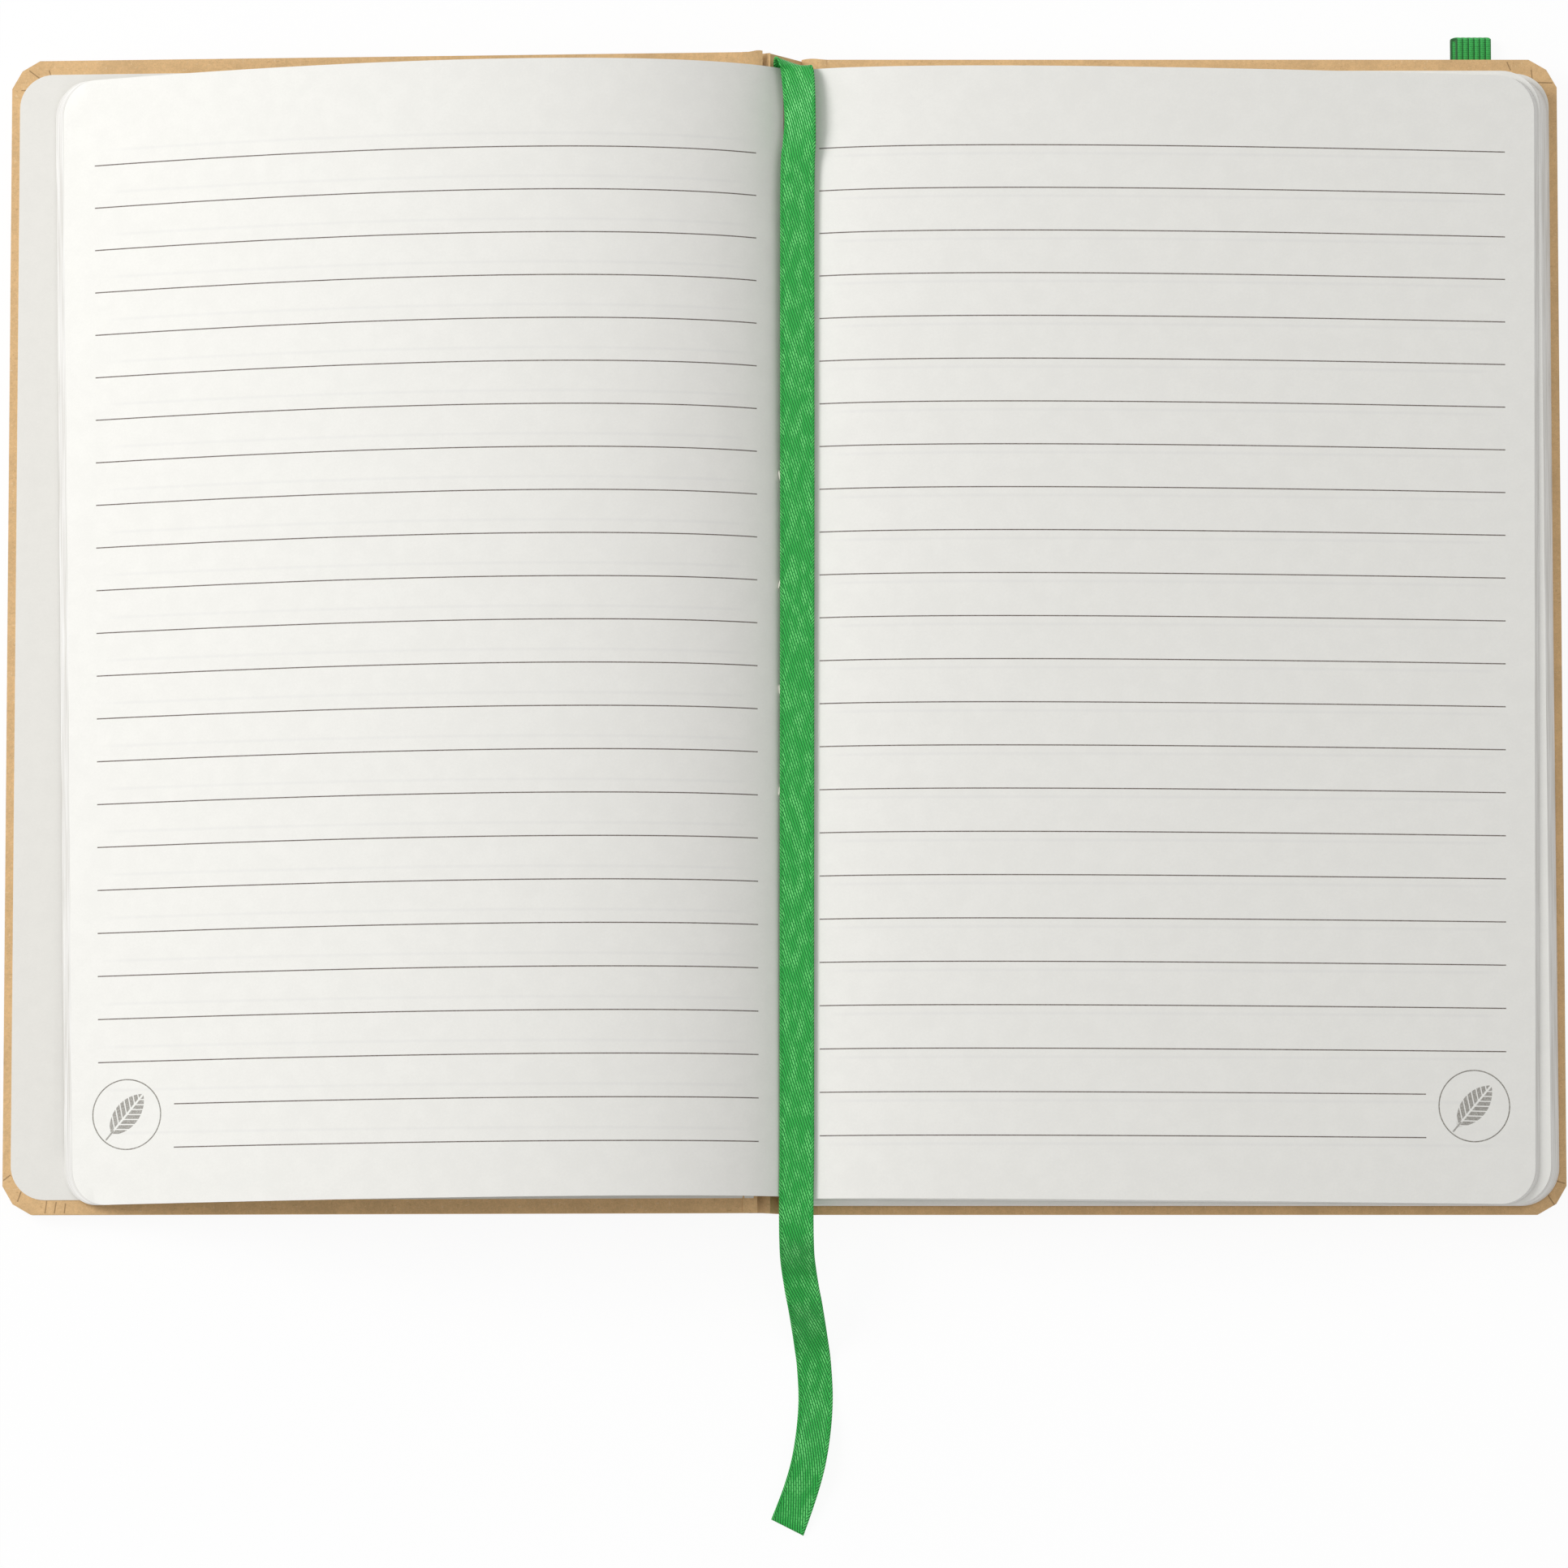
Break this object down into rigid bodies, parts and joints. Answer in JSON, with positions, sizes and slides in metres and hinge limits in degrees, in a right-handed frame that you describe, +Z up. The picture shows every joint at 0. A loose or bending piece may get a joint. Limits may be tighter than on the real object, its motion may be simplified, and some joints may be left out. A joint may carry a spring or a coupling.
{
  "type": "notebook",
  "caption": "Open hard-cover ruled notebook in kraft paper, with rounded corners, a woven ribbon marker and an elastic closure band.",
  "frame": {"origin": "table surface under the middle of the bound book, with the elastic band's slack loop and without the ribbon", "axes": "+X towards the right-hand page's fore edge, +Y towards the head of the pages, +Z up from the table"},
  "size_m": [0.2822, 0.2731, 0.0243],
  "materials": {
    "page_paper": "uncoated white writing paper with printed brown-grey rules",
    "lining_paper": "cream lining paper glued to the sewn back",
    "thread": "off-white sewing thread",
    "ribbon": "green satin ribbon with corded edges",
    "kraft_paper": "brown kraft paper with darker fibres, matt",
    "greyboard": "grey recycled board",
    "endpaper": "bluish white endpaper, uncoated",
    "elastic": "green ribbed woven elastic"
  },
  "bodies": {
    "book_block": {"pages": "page_paper", "open_leaves": "page_paper", "spine_lining": "lining_paper", "sewing_thread": "thread", "ribbon_marker": "ribbon", "spine_strip": "greyboard", "spine_paper": "kraft_paper"},
    "back_cover": {"back_board": "greyboard", "back_cover_paper": "kraft_paper", "back_pastedown": "endpaper", "elastic_band": "elastic"},
    "front_cover": {"front_board": "greyboard", "front_cover_paper": "kraft_paper", "front_pastedown": "endpaper"}
  },
  "joints": [
    {"name": "back_cover_hinge", "type": "hinge", "parent": "book_block", "child": "back_cover", "pos_m": [0.0053, 0, 0.0024], "axis": [0, 1, 0], "range_deg": [0, 90]},
    {"name": "front_cover_hinge", "type": "hinge", "parent": "book_block", "child": "front_cover", "pos_m": [-0.0052, 0, 0.01205], "axis": [0, 1, 0], "range_deg": [0, 175], "deforming": ["open_leaves", "ribbon_marker"]}
  ]
}
